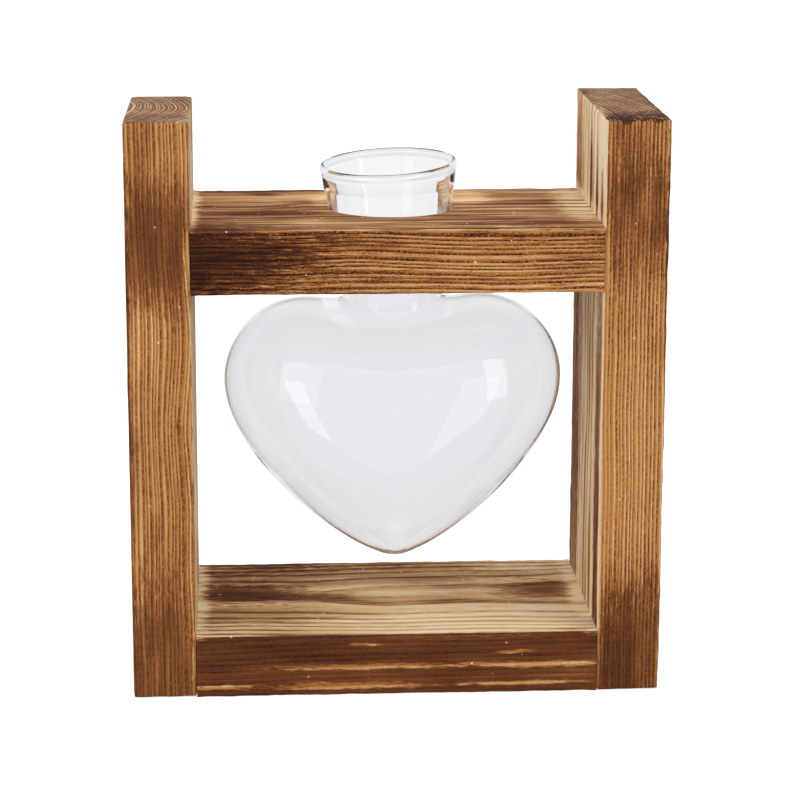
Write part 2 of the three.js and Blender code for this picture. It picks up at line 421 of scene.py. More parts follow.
def close_tip(vase, tip, axis):
    """Fills the hole round a tip with square faces, and domes them down to the tip."""

    def on_hole(edge):
        rise = (edge.verts[0].co.z + edge.verts[1].co.z) / 2 - tip
        return edge.is_boundary and 0 < rise < TIP_HOLE

    select(vase, "EDGE", on_hole)
    ring = [v.co.copy() for v in bmesh.from_edit_mesh(vase.data).verts if v.select]
    side = max(ring, key=lambda point: point.x)
    back = max(ring, key=lambda point: point.y)
    bpy.ops.mesh.fill_grid(span=len(ring) // 4)
    mesh = bmesh.from_edit_mesh(vase.data)
    for vertex in mesh.verts:
        if vertex.select and not any((vertex.co - point).length < WELD for point in ring):
            across = (vertex.co.x / side.x) ** 2
            along = ((vertex.co.y - axis) / (back.y - axis)) ** 2
            vertex.co.z = tip + across * (side.z - tip) + along * (back.z - tip)
    bmesh.update_edit_mesh(vase.data)


def thin_wall(vase):
    """Brings the heart's inner wall out to the thickness that the glass shows at its edges,
    and moves the outside out by what smoothing takes off it."""
    low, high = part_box("glass_vase")
    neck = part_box("top_rail")[0].z
    axis = vase_axis()
    heart = low.lerp(high, HEART_MIDDLE)
    bead = high.z - BEAD_ZONE

    def outward(vertex):
        away = Vector((vertex.co.x, vertex.co.y - axis, vertex.co.z - heart.z))
        return vertex.normal.dot(away)

    edit(vase)
    select(vase, "VERT", lambda vertex: outward(vertex) < 0 and vertex.co.z < neck)
    bpy.ops.transform.shrink_fatten(value=-WALL_GAIN - ROUNDING_LOSS, use_even_offset=True)
    select(vase, "VERT", lambda vertex: outward(vertex) > 0 and vertex.co.z < bead)
    bpy.ops.transform.shrink_fatten(value=ROUNDING_LOSS, use_even_offset=True)
    close()


def slim_rim(vase):
    """Thins the bead round the mouth and the wall below it, and draws the neck in under the bead."""
    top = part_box("glass_vase")[1].z
    axis = vase_axis()
    levels = [top - share * RIM_HEIGHT for share in RIM_CUTS]
    edit(vase)
    cut_rings(levels)
    mesh = bmesh.from_edit_mesh(vase.data)
    mesh.normal_update()

    def faces_in(vertex):
        return vertex.normal.dot(vertex.co - Vector((0, axis, vertex.co.z))) < 0

    foot = levels[0] + ABOVE_CUT
    bead = [vertex for vertex in mesh.verts if vertex.co.z > foot]
    neck = [vertex for vertex in mesh.verts if top - NECK_HEIGHT < vertex.co.z < foot]
    inside = [vertex for vertex in neck if faces_in(vertex)]
    outside = [vertex for vertex in neck if not faces_in(vertex)]
    outside.sort(key=lambda vertex: vertex.co.z)
    heights = [vertex.co.z for vertex in outside]
    radii = [radius(vertex, axis) for vertex in outside]
    mouth = max(radius(vertex, axis) for vertex in bead)
    for vertex in bead:
        set_radius(vertex, axis, mouth - (mouth - radius(vertex, axis)) * RIM_SHARE)
    for vertex in inside:
        depth = top - vertex.co.z
        wall = numpy.interp(depth, (RIM_HEIGHT, NECK_HEIGHT), (NECK_WALL, SEAT_WALL))
        set_radius(vertex, axis, numpy.interp(vertex.co.z, heights, radii) - wall)
    for vertex in outside:
        depth = top - vertex.co.z
        groove = numpy.interp(depth, (RIM_HEIGHT, 2 * RIM_HEIGHT), (RIM_GROOVE, 0))
        set_radius(vertex, axis, radius(vertex, axis) - groove)
    bmesh.update_edit_mesh(vase.data)
    close()


def lean(vase):
    """Turns the whole vase a little in its seat, and its mouth a little more."""
    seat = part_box("top_rail")[1].z
    axis = vase_axis()

    def turn(value, orient_axis, level):
        bpy.ops.transform.rotate(
            value=value,
            orient_axis=orient_axis,
            center_override=(0, axis, level),
        )

    edit(vase)
    bpy.ops.mesh.select_all(action="SELECT")
    turn(HEART_LEAN, "Y", seat)
    levels = [seat + rise * MM for rise in BEND_LEVELS]
    cut_rings(levels)
    for level in levels:
        select(vase, "VERT", lambda vertex: vertex.co.z > level + ABOVE_BEND)
        turn(MOUTH_LEAN / len(levels), "Y", level)
    for level in levels[-TIP_BENDS:]:
        select(vase, "VERT", lambda vertex: vertex.co.z > level + ABOVE_TIP)
        turn(-MOUTH_TIP / TIP_BENDS, "X", level)
    close()


def blown_vase():
    """The CAD vase with its facets smoothed, and with the lean that blowing by hand left in it."""
    vase = copied_vase()
    thin_wall(vase)
    slim_rim(vase)
    lean(vase)
    round_off = vase.modifiers.new("round_off", "SUBSURF")
    round_off.levels = ROUNDING_LEVELS
    round_off.render_levels = ROUNDING_LEVELS
    apply(vase, round_off)
    only(vase)
    bpy.ops.object.shade_smooth()
    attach(vase, "vase")
    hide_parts("glass_vase")
    return vase


# Materials


def paint(hex_colour):
    """An sRGB hex colour as the linear colour that nodes take."""
    channels = [int(hex_colour[i:i + 2], 16) / 255 for i in (1, 3, 5)]
    linear = [c / 12.92 if c <= 0.04045 else ((c + 0.055) / 1.055) ** 2.4 for c in channels]
    return (*linear, 1)


def add(tree, kind, inputs=None, stops=None, **settings):
    """Adds a node, sets its fields, ramp and sockets, and links the sockets that get an output."""
    made = tree.nodes.new("ShaderNode" + kind)
    for name, value in settings.items():
        setattr(made, name, value)
    if stops:
        ramp = made.color_ramp.elements
        while len(ramp) < len(stops):
            ramp.new(1)
        for element, (place, colour) in zip(ramp, stops):
            element.position = place
            element.color = paint(colour) if isinstance(colour, str) else (colour, colour, colour, 1)
    for name, value in (inputs or {}).items():
        if isinstance(value, bpy.types.NodeSocket):
            tree.links.new(value, made.inputs[name])
        else:
            made.inputs[name].default_value = value
    return made


def start_material(name):
    """An empty node material and its tree."""
    material = bpy.data.materials.new(name)
    material.use_nodes = True
    material.node_tree.nodes.clear()
    return material, material.node_tree


def dress(piece, material):
    """The piece's one material."""
    piece.data.materials.clear()
    piece.data.materials.append(material)


# Torched pine: colours, each list running from spared wood to char

# Narrow faces: brown ground with golden ridges
NARROW_GROUND = [
    (0, "#b87a3c"),
    (0.2, "#9e6432"),
    (0.35, "#8a532c"),
    (0.55, "#704024"),
    (0.75, "#5a311d"),
    (1, "#2e1810"),
]
NARROW_RIDGE = [
    (0, "#f4d4a2"),
    (0.2, "#dca970"),
    (0.35, "#a87448"),
    (0.55, "#7c4c2d"),
    (0.75, "#5f3722"),
    (1, "#382014"),
]
# Wide faces: cream ground with scorched rings
WIDE_GROUND = [(0, "#fae7c4"), (0.25, "#e8c390"), (0.5, "#ba8c60"), (0.75, "#804c28"), (1, "#502a14")]
WIDE_RING = [(0, "#d6aa72"), (0.25, "#865028"), (0.5, "#5c3216"), (0.75, "#4a260e"), (1, "#341a0a")]
# Sawn ends: grey-brown ground with cream rings
END_GROUND = [(0, "#ecd8ba"), (0.2, "#946a4a"), (0.5, "#664029"), (0.75, "#4a2c1d"), (1, "#26140d")]
END_RING = [(0, "#f2dcba"), (0.25, "#e0c09a"), (0.5, "#c6a07a"), (0.75, "#7c583e"), (1, "#40281a")]
SPECK_COLOUR = "#ecd6ac"

# Across one growth ring: a golden ridge with painted shade in the hollow beside it, or a scorched
# ring that fades one way
RIDGE_PROFILE = [(0, 0.2), (0.12, 1), (0.3, 0.9), (0.44, 0.05), (0.75, 0), (1, 0.2)]
HOLLOW_SHADE_PROFILE = [(0, 0), (0.4, 0), (0.5, 1), (0.66, 0.7), (0.85, 0)]
RING_PROFILE = [(0, 0.02), (0.4, 0.06), (0.62, 0.45), (0.76, 1), (0.96, 0.9), (1, 0.02)]

# Sizes of the patterns in millimetres, through the board, across it and along it.
# Real fibres and grit are finer. They are drawn as coarse as they need to show.
RING_DRIFT = (30, 45, 48)
BROAD_FLAME = (12, 12, 40)
FLAME_STREAK = (1.6, 2.2, 26)
FLAME_LICK = (2.5, 4.5, 60)
WOOD_FIBRE = (0.5, 0.5, 9)
BRUSH_GRIT = (0.4, 0.4, 0.8)
SPOT_WOBBLE = (4, 3, 14)
SPOT_MOVE = (1.5, 2, 6)  # how far the wobble moves a spot
SPOT_TATTER = (0.4, 0.4, 3.5)
SPECK_SPACING = (3, 3, 4)
SPECK_REACH = 0.1  # radius of the largest speck, as a share of that spacing
SPECK_SKIP = 0.55  # share of the places that have no speck

# How much each pattern tells
SEED_STEP = 7.3  # how far apart the noises of two seeds lie
NOISE_ROUGHNESS = 0.55
YEAR_SCALE = 0.45
YEAR_SPREAD = 1.4  # how many rings good and bad years shift the count by
BROAD_SHARE = 0.7
STREAK_SHARE = 0.4
SCORCH_OFFSET = -0.55  # sets the mean of both to about 0
TATTER_SHARE = 1.8
SPOT_CORE = 1.25  # a spot has its full strength up to here, with its tatter, in reaches
SPOT_RIM = 2.0  # and none from here
# Painted shade in the hollow beside each ridge, beaded by the grit
HOLLOW_SHADE_GRIT = 1.6
HOLLOW_SHADE_OFFSET = -0.35
TORN_FIBRE = 0.95
TORN_GRIT = 0.7
TORN_OFFSET = -0.94  # sets the mean of the pits to about 0
CHAR_BEGINS = 0.05  # scorching from which char evens the pits out
CHAR_FULL = 0.4
CHAR_SPARES = 0.5  # what it leaves of them there
LICK_FIBRE = 0.3
LICK_OFFSET = 0.65
RELIEF_FIBRE = 0.6
RELIEF_GRIT = 0.6
RELIEF_DEPTH = 0.2 * MM


def stretched(tree, grain, size, detail, seed):
    """Noise whose grains have that size in millimetres, through the board, across it and along it."""
    scale = [1 / length for length in size]
    place = [seed * SEED_STEP] * 3
    sized = add(tree, "Mapping", {"Vector": grain, "Location": place, "Scale": scale}).outputs[0]
    noise = {"Vector": sized, "Scale": 1, "Detail": detail, "Roughness": NOISE_ROUGHNESS}
    return add(tree, "TexNoise", noise).outputs


def board_grain(tree, node, along):
    """Place in the board in millimetres from its middle: through it, across it and along it."""
    low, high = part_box(node)
    middle = (low + high) / 2 / MM
    place = add(tree, "TexCoord").outputs["Object"]
    centred = {"Vector": place, "Location": -middle, "Scale": [1 / MM] * 3}
    board = add(tree, "Mapping", centred).outputs[0]
    axes = add(tree, "SeparateXYZ", {"Vector": board}).outputs
    through = "X" if along == "Z" else "Z"
    turned = {"X": axes[through], "Y": axes["Y"], "Z": axes[along]}
    return add(tree, "CombineXYZ", turned).outputs[0]


def growth_rings(tree, grain, pith, spacing, slope, sway, seed):
    """Place in the ring from 0 to 1, and how bright each ring is, from the distance to the pith."""
    drift = stretched(tree, grain, RING_DRIFT, detail=1, seed=seed)["Fac"]
    axes = add(tree, "SeparateXYZ", {"Vector": grain}).outputs
    swayed = add(tree, "Math", {0: drift, 1: sway, 2: axes["X"]}, operation="MULTIPLY_ADD").outputs[0]
    section = add(tree, "CombineXYZ", {"X": swayed, "Y": axes["Y"]}).outputs[0]
    centre = (pith[0] + sway / 2, pith[1], 0)
    away = add(tree, "VectorMath", {0: section, 1: centre}, operation="DISTANCE").outputs["Value"]
    leaned = add(tree, "Math", {0: axes["Z"], 1: slope, 2: away}, operation="MULTIPLY_ADD").outputs[0]
    count = add(tree, "Math", {0: leaned, 1: spacing}, operation="DIVIDE").outputs[0]
    seasons = {"W": count, "Scale": YEAR_SCALE, "Detail": 1}
    years = add(tree, "TexNoise", seasons, noise_dimensions="1D").outputs["Fac"]
    spread = {0: years, 1: YEAR_SPREAD, 2: count}
    uneven = add(tree, "Math", spread, operation="MULTIPLY_ADD").outputs[0]
    phase = add(tree, "Math", {0: uneven}, operation="FRACT").outputs[0]
    number = add(tree, "Math", {0: uneven}, operation="FLOOR").outputs[0]
    vigour = add(tree, "TexWhiteNoise", {"W": number}, noise_dimensions="1D").outputs["Value"]
    return phase, vigour


def scorching(tree, grain, spots, seed):
    """How far the flame scorched each place, from about 0: streaks along the grain, and spots that
    it held or spared. A few spots paint in light or shade instead. A spot is its middle, its
    reach and its strength, in millimetres through, across and along the board."""
    broad = stretched(tree, grain, BROAD_FLAME, detail=2, seed=seed + 1)["Fac"]
    streak = stretched(tree, grain, FLAME_STREAK, detail=2, seed=seed + 2)["Fac"]
    base = {0: broad, 1: BROAD_SHARE, 2: SCORCH_OFFSET}
    both = add(tree, "Math", base, operation="MULTIPLY_ADD").outputs[0]
    total = add(tree, "Math", {0: streak, 1: STREAK_SHARE, 2: both}, operation="MULTIPLY_ADD").outputs[0]
    wobble = stretched(tree, grain, SPOT_WOBBLE, detail=2, seed=seed + 3)["Color"]
    tatter = stretched(tree, grain, SPOT_TATTER, detail=3, seed=seed + 7)["Fac"]
    wander = {0: wobble, 1: SPOT_MOVE, 2: grain}
    moved = add(tree, "VectorMath", wander, operation="MULTIPLY_ADD").outputs[0]
    for place, reach, strength in spots:
        scale = [1 / length for length in reach]
        shift = [-(p + wide / 2) * s for p, wide, s in zip(place, SPOT_MOVE, scale)]
        there = add(tree, "Mapping", {"Vector": moved, "Location": shift, "Scale": scale}).outputs[0]
        far = add(tree, "VectorMath", {0: there}, operation="LENGTH").outputs["Value"]
        torn = {0: tatter, 1: TATTER_SHARE, 2: far}
        ragged = add(tree, "Math", torn, operation="MULTIPLY_ADD").outputs[0]
        fall = {
            "Value": ragged,
            "From Min": SPOT_CORE,
            "From Max": SPOT_RIM,
            "To Min": strength,
            "To Max": 0,
        }
        mark = add(tree, "MapRange", fall, interpolation_type="SMOOTHSTEP").outputs[0]
        total = add(tree, "Math", {0: total, 1: mark}, operation="ADD").outputs[0]
    return total


def brushed(tree, scorch_and_painted_light, hollow_shade, fibre, grit, bite):
    """Scorching of the narrow faces, with painted shade in the groove beside each golden ridge: the wire
    brush digs into the soft wood, less where char evens it out.
    """
    # Painted shade in the hollow beside each ridge, beaded by the grit, added to the torn fibres
    beads = {0: grit, 1: HOLLOW_SHADE_GRIT, 2: HOLLOW_SHADE_OFFSET}
    hollow_shade_strength = add(tree, "Math", beads, operation="MULTIPLY_ADD").outputs[0]
    fibres = {0: fibre, 1: TORN_FIBRE, 2: TORN_OFFSET}
    torn = add(tree, "Math", fibres, operation="MULTIPLY_ADD").outputs[0]
    torn = add(tree, "Math", {0: grit, 1: TORN_GRIT, 2: torn}, operation="MULTIPLY_ADD").outputs[0]
    pits_and_shade = add(tree, "Math", {0: hollow_shade, 1: hollow_shade_strength, 2: torn}, operation="MULTIPLY_ADD").outputs[0]
    char = {
        "Value": scorch_and_painted_light,
        "From Min": CHAR_BEGINS,
        "From Max": CHAR_FULL,
        "To Min": bite,
        "To Max": bite * CHAR_SPARES,
    }
    depth = add(tree, "MapRange", char).outputs[0]
    return add(tree, "Math", {0: pits_and_shade, 1: depth, 2: scorch_and_painted_light}, operation="MULTIPLY_ADD").outputs[0]


def licked(tree, scorch_and_painted_light, fibre, flame, lick):
    """Scorching of the wide faces: the flame licks along the grain."""
    licks = add(tree, "Math", {0: fibre, 1: LICK_FIBRE, 2: flame}, operation="MULTIPLY_ADD").outputs[0]
    licks = add(tree, "Math", {0: licks, 1: LICK_OFFSET}, operation="SUBTRACT").outputs[0]
    return add(tree, "Math", {0: licks, 1: lick, 2: scorch_and_painted_light}, operation="MULTIPLY_ADD").outputs[0]


def toned(tree, scorch_and_painted_light, base, ground, line, amount):
    """Ground and ring colours for that much scorching and painted light and shade, mixed by the ring
    pattern.
    """
    level = add(tree, "Math", {0: scorch_and_painted_light, 1: base}, operation="ADD").outputs[0]
    below = add(tree, "ValToRGB", {"Fac": level}, stops=ground).outputs[0]
    above = add(tree, "ValToRGB", {"Fac": level}, stops=line).outputs[0]
    return add(tree, "Mix", {0: amount, 6: below, 7: above}, data_type="RGBA").outputs[2]


def facing(tree, axis):
    """How far a place belongs to the faces that look along the axis."""
    normal = add(tree, "SeparateXYZ", {"Vector": add(tree, "TexCoord").outputs["Normal"]}).outputs
    along = add(tree, "Math", {0: normal[axis]}, operation="ABSOLUTE").outputs[0]
    return add(tree, "MapRange", {"Value": along, "From Min": 0.5, "From Max": 0.8}).outputs[0]


def specked(tree, grain, colour):
    """The colour with pale specks, where the brush tore a fibre out."""
    scale = [1 / length for length in SPECK_SPACING]
    spread = add(tree, "Mapping", {"Vector": grain, "Scale": scale}).outputs[0]
    cells = add(tree, "TexVoronoi", {"Vector": spread, "Scale": 1}).outputs
    drawn = add(tree, "SeparateColor", {"Color": cells["Color"]}).outputs[0]
    few = {"Value": drawn, "From Min": SPECK_SKIP, "From Max": 1, "To Max": SPECK_REACH}
    size = add(tree, "MapRange", few).outputs[0]
    speck = add(tree, "Math", {0: cells["Distance"], 1: size}, operation="LESS_THAN").outputs[0]
    pale = {0: speck, 6: colour, 7: paint(SPECK_COLOUR)}
    return add(tree, "Mix", pale, data_type="RGBA").outputs[2]


def torched_pine(node, along, pith, spacing, slope, sway, base, bite, lick, spots, seed):
    """Pine boards, torched, wire-brushed and sealed matt.
    Brushing leaves the hard rings as thin golden ridges on the narrow faces, where the torch
    bit deepest, with painted shade in the groove beside each ridge. The wide faces stay cream,
    with the rings scorched dark where the flame passed.
    Pith, ring spacing and sway are in millimetres. Base is the scorching of the narrow, wide and
    sawn faces, bite the brush's strength and lick the flame's."""
    material, tree = start_material("torched_pine_" + node)
    grain = board_grain(tree, node, along)
    phase, vigour = growth_rings(tree, grain, pith, spacing, slope, sway, seed)
    ridge = add(tree, "ValToRGB", {"Fac": phase}, stops=RIDGE_PROFILE).outputs[0]
    # Painted shade in the hollow beside each ridge
    hollow_shade = add(tree, "ValToRGB", {"Fac": phase}, stops=HOLLOW_SHADE_PROFILE).outputs[0]
    ring = add(tree, "ValToRGB", {"Fac": phase}, stops=RING_PROFILE).outputs[0]
    fibre = stretched(tree, grain, WOOD_FIBRE, detail=2, seed=seed + 4)["Fac"]
    grit = stretched(tree, grain, BRUSH_GRIT, detail=1, seed=seed + 5)["Fac"]
    flame = stretched(tree, grain, FLAME_LICK, detail=2, seed=seed + 6)["Fac"]
    scorch_and_painted_light = scorching(tree, grain, spots, seed)
    # Narrow faces and sawn ends: scorching and brushing, with painted shade beside the ridges
    pitted_and_shaded = brushed(tree, scorch_and_painted_light, hollow_shade, fibre, grit, bite)
    streaked = licked(tree, scorch_and_painted_light, fibre, flame, lick)

    # Rings come out stronger or weaker, break up along the fibres and, as ridges, into beads
    strong = add(tree, "MapRange", {"Value": vigour, "To Min": 0.45, "To Max": 1}).outputs[0]
    breaks = {"Value": fibre, "From Min": 0.3, "From Max": 0.5, "To Min": 0.5}
    broken = add(tree, "MapRange", breaks).outputs[0]
    beads = {"Value": grit, "From Min": 0.35, "From Max": 0.6, "To Min": 0.45}
    beaded = add(tree, "MapRange", beads).outputs[0]
    lit = add(tree, "Math", {0: ridge, 1: strong}, operation="MULTIPLY").outputs[0]
    golden = add(tree, "Math", {0: lit, 1: broken}, operation="MULTIPLY").outputs[0]
    golden = add(tree, "Math", {0: golden, 1: beaded}, operation="MULTIPLY").outputs[0]
    scorched = add(tree, "Math", {0: ring, 1: broken}, operation="MULTIPLY").outputs[0]

    # Narrow faces look along Y, sawn ends along the board
    narrow = toned(tree, pitted_and_shaded, base[0], NARROW_GROUND, NARROW_RIDGE, golden)
    wide = toned(tree, streaked, base[1], WIDE_GROUND, WIDE_RING, scorched)
    end = toned(tree, pitted_and_shaded, base[2], END_GROUND, END_RING, scorched)
    colour = add(tree, "Mix", {0: facing(tree, "Y"), 6: wide, 7: narrow}, data_type="RGBA").outputs[2]
    colour = add(tree, "Mix", {0: facing(tree, along), 6: colour, 7: end}, data_type="RGBA").outputs[2]
    colour = specked(tree, grain, colour)

    # Relief of the brushed rings and fibres
    relief = add(tree, "Math", {0: fibre, 1: RELIEF_FIBRE, 2: lit}, operation="MULTIPLY_ADD").outputs[0]
    relief = add(tree, "Math", {0: grit, 1: RELIEF_GRIT, 2: relief}, operation="MULTIPLY_ADD").outputs[0]
    raised = {"Strength": 0.7, "Distance": RELIEF_DEPTH, "Height": relief}
    bump = add(tree, "Bump", raised).outputs[0]
    rough = add(tree, "MapRange", {"Value": grit, "To Min": 0.8, "To Max": 0.55}).outputs[0]
    sealed = {"Base Color": colour, "Roughness": rough, "Normal": bump, "Specular IOR Level": 0.04}
    shader = add(tree, "BsdfPrincipled", sealed)
    add(tree, "OutputMaterial", {"Surface": shader.outputs[0]})
    return material


# Where the flame held or spared each board, with a few spots of painted light and shade, as (middle,
# reach, strength)

LEFT_SPOTS = [
    # Front: scorched beside the top rail and at the foot
    ((0, -35, 48), (24, 5, 22), 0.3),
    ((0, -35, -72), (24, 5, 32), 0.28),
    # Front edges: spared beside the rails, and darker along the outside, part char and part painted
    # shade
    ((9, -35, 43), (2.2, 4, 11), -0.8),
    ((9, -35, -73), (1.6, 4, 11), -0.5),
    # Darker along the outer front edge: part char, part painted shade of the rounded edge
    ((-9, -35, 0), (1.3, 3, 95), 0.3),
    # Inner face
    ((9, -5, 0), (2.5, 60, 110), -0.3),
]
RIGHT_SPOTS = [
    # Front: scorched above the top rail and at the foot, spared between them
    ((0, -35, 56), (24, 5, 20), 0.25),
    ((0, -35, 76), (24, 5, 18), 0.12),
    ((0, -35, -8), (24, 5, 44), -0.18),
    ((0, -35, -72), (24, 5, 32), 0.42),
    ((-9, -35, 43), (1.6, 4, 11), -0.6),
    # Inner face above the top rail: tongues of flame on cream, and a bare line at the rail
    ((-9, -20, 70), (3, 20, 22), -0.45),
    ((-9, -27, 56), (3, 4.2, 16), 0.9),
    ((-9, -16, 56), (3, 4.2, 20), 0.8),
    ((-9, -3, 58), (3, 5, 22), 0.8),
    ((-9, 24, 50), (3, 14, 40), 0.35),
    ((-9, 0, 53), (3, 50, 3), -0.5),
    # Inner face below it: a dark band near the front and one at the back, and a bare edge
    ((-9, -27, -25), (3, 8, 88), 0.75),
    ((-9, 27, -25), (3, 17, 90), 0.6),
    # Painted warm light bounced from the wood: a little scorching through the middle of the lower inner
    # face
    ((-9, -6, -30), (3, 14, 80), 0.12),
    ((-9, -34, -20), (3, 2.5, 80), -0.5),
    # Outer front edge, front of the sawn top, and outer face
    ((9, -35, 40), (1.5, 3, 40), 0.35),
    ((0, -35, 82), (24, 24, 1), 0.4),
    ((9, 6, 56), (3, 30, 44), 0.3),
    ((9, 4, -56), (3, 30, 44), 0.34),
    ((9, 6, 0), (3, 32, 130), 0.14),
]
TOP_SPOTS = [
    # Left end of the front
    ((1, -35, -58), (15, 14, 44), 0.62),
    # Top face: streaks, and spared ends and front edge
    ((9, -6, -38), (3, 5, 26), 0.3),
    ((9, 33, -25), (3, 5, 60), 0.3),
    ((9, -26, 36), (3, 6, 26), 0.3),
    ((9, 5, 55), (3, 40, 9), -0.45),
    ((9, 0, -57.5), (2, 60, 3), -0.7),
    ((9, -35, 0), (0.8, 1.6, 80), -0.5),
    # Beside the slot, and its sawn walls
    ((9, 18, 23), (3, 14, 9), -0.32),
    ((9, 14, -19), (3, 12, 4.5), -0.22),
    ((-2, 14, -18), (9, 30, 3.5), -1.1),
    ((-2, 14, 18), (9, 30, 3.5), -1.1),
]
BOTTOM_SPOTS = [
    # Top face: scorched at the left, the back and the right, spared in the middle and at the ends
    ((9, 5, -48), (3, 12, 34), 0.62),
    ((9, 20, -8), (3, 12, 70), 0.32),
    ((9, 30, -46), (3, 10, 34), 0.38),
    ((9, 33, 0), (3, 5, 70), 0.25),
    ((9, -16, -42), (3, 12, 30), 0.28),
    ((9, 4, 45), (3, 12, 17), 0.46),
    ((9, 6, -8), (3, 8, 26), -0.3),
    ((9, -25, 28), (3, 14, 40), -0.26),
    ((9, 0, -57.5), (2, 60, 4.5), -0.7),
    ((9, 0, 57), (2, 60, 5), -0.5),
    # Front: golden streaks that the flame left
    ((-4, -35, 0), (5, 10, 90), -0.1),
    ((-0.8, -35, 40), (1.4, 10, 28), -0.55),
    ((-0.6, -35, -8), (1.1, 10, 34), -0.55),
    ((-6.4, -35, -16), (1.3, 10, 28), -0.55),
    ((-6.4, -35, -52), (1.0, 10, 13), -0.6),
    ((-6.2, -35, 34), (1.0, 10, 22), -0.55),
    ((3.2, -35, 33), (0.7, 10, 7), -0.6),
    ((6, -35, -10), (0.5, 10, 6), -0.6),
]


def left_pine():
    """Fine golden rings that sway along the board."""
    return torched_pine(
        "left_upright",
        along="Z",
        pith=(-95, 3),
        spacing=1.08,
        slope=0.004,
        sway=5,
        base=(0.17, 0.38, 0.46),
        bite=0.72,
        lick=1.0,
        spots=LEFT_SPOTS,
        seed=1,
    )


def right_pine():
    """Straight rings, beaded by the brush, beside a cream inner face with tongues of flame."""
    return torched_pine(
        "right_upright",
        along="Z",
        pith=(-140, -30),
        spacing=1.1,
        slope=0.003,
        sway=2,
        base=(0.18, 0.06, 0.52),
        bite=0.95,
        lick=0.8,
        spots=RIGHT_SPOTS,
        seed=2,
    )


def top_pine():
    """Deeply brushed rings that fade into char at the left end."""
    return torched_pine(
        "top_rail",
        along="X",
        pith=(-90, 25),
        spacing=1.15,
        slope=0.006,
        sway=3,
        base=(0.31, 0.56, 0.4),
        bite=1.4,
        lick=1.0,
        spots=TOP_SPOTS,
        seed=3,
    )


def bottom_pine():
    """Wide rings on cream above, and an evenly charred front with golden streaks."""
    return torched_pine(
        "bottom_rail",
        along="X",
        pith=(-55, 2),
        spacing=1.5,
        slope=-0.012,
        sway=2,
        base=(0.68, 0.2, 0.4),
        bite=0.28,
        lick=0.6,
        spots=BOTTOM_SPOTS,
        seed=4,
    )


# Glass and dowels

# Below the index of real glass, so that the wood is mirrored as faintly as in the photograph
GLASS_INDEX = 1.28
GLASS_SHADE = "#f4f4f4"  # what the glass lets through of a lamp's light
BEECH_FLECK = (6, 0.6, 0.6)  # millimetres along the dowel and across it


def clear_glass():
    """Blown soda-lime glass: clear, polished by the flame, seen by its edges and highlights."""
    material, tree = start_material("clear_soda_glass")
    body = {
        "Base Color": paint("#ffffff"),
        "Roughness": 0.0,
        "IOR": GLASS_INDEX,
        "Transmission Weight": 1.0,
    }
    glass = add(tree, "BsdfPrincipled", body).outputs[0]
    shadow = add(tree, "LightPath").outputs["Is Shadow Ray"]
    clear = add(tree, "BsdfTransparent", {"Color": paint(GLASS_SHADE)}).outputs[0]
    mixed = add(tree, "MixShader", {0: shadow, 1: glass, 2: clear}).outputs[0]
    add(tree, "OutputMaterial", {"Surface": mixed})
    return material


def raw_beech():
    """Turned beech dowels, raw: pinkish tan with short darker flecks along the rod."""
    material, tree = start_material("raw_beech")
    coords = add(tree, "TexCoord").outputs
    scale = [1 / (length * MM) for length in BEECH_FLECK]
    rod = add(tree, "Mapping", {"Vector": coords["Object"], "Scale": scale}).outputs[0]
    streak = add(tree, "TexNoise", {"Vector": rod, "Scale": 1, "Detail": 3}).outputs["Fac"]
    tones = [(0.3, "#b88a5c"), (0.5, "#d2a878"), (0.7, "#dcb88c")]
    colour = add(tree, "ValToRGB", {"Fac": streak}, stops=tones).outputs[0]
    bump = add(tree, "Bump", {"Strength": 0.4, "Distance": 0.1 * MM, "Height": streak}).outputs[0]
    shader = add(tree, "BsdfPrincipled", {"Base Color": colour, "Roughness": 0.7, "Normal": bump})
    add(tree, "OutputMaterial", {"Surface": shader.outputs[0]})
    return material


# Studio

WHITE = (1, 1, 1, 1)
PAPER_WHITE = "#e0e0e0"
PAPER_GREY = "#e7e8ec"  # the paper as glass shows it, near the object
PAPER_GREY_LIT = "#f5f6f8"  # and further back, lighter with painted light
PAPER_NEAR = 0.55  # metres behind the object where it starts to turn lighter
PAPER_FAR = 0.75  # and where it has
PAPER_GLOW = 0.6
FLOOR_SIZE = 12
ROOM_LIGHT = 0.6
LAMP_AIM = Vector((0, 0, 85)) * MM
LAMP_DISTANCE = 1.2

# Light is followed further than usual, so that the glass doesn't turn black where it is thick
LIGHT_BOUNCES = 24
GLOSS_BOUNCES = 16
GLASS_BOUNCES = 24


def seen_in_glass(tree, path):
    """1 for what glass and gloss show."""
    rays = {0: path["Is Glossy Ray"], 1: path["Is Transmission Ray"]}
    return add(tree, "Math", rays, operation="MAXIMUM").outputs[0]


